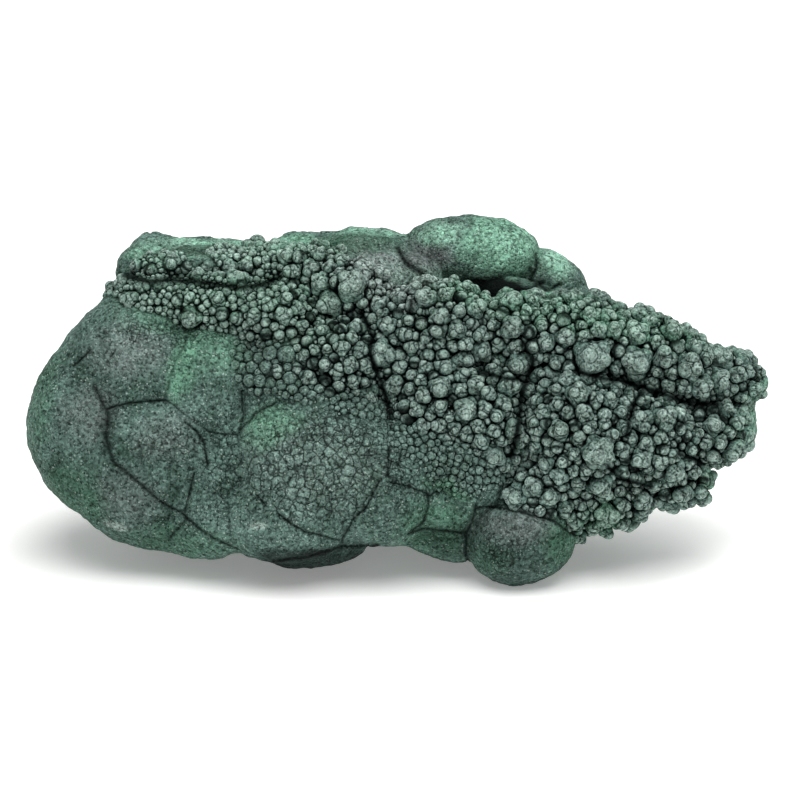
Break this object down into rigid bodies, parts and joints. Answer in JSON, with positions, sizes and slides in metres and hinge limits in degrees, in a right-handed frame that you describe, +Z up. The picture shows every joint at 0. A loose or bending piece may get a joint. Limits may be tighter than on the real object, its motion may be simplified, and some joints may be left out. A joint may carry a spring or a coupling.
{
  "type": "malachite specimen",
  "caption": "Botryoidal malachite mass: smooth rounded lobes at one end, a crust of round bead clusters at the other, a rough broken back and a small flat seat.",
  "frame": {"origin": "middle of the specimen's footprint, on the surface it rests on", "axes": "+X to the viewer's right along the specimen's length, with the beaded end at +X; +Y away from the viewer, through the broken back; +Z up"},
  "size_m": [0.1595, 0.0593, 0.0691],
  "materials": {
    "malachite": "matt, velvety dark grey-green with brighter green patches"
  },
  "bodies": {
    "root": {"malachite_mass": "malachite"}
  },
  "joints": []
}
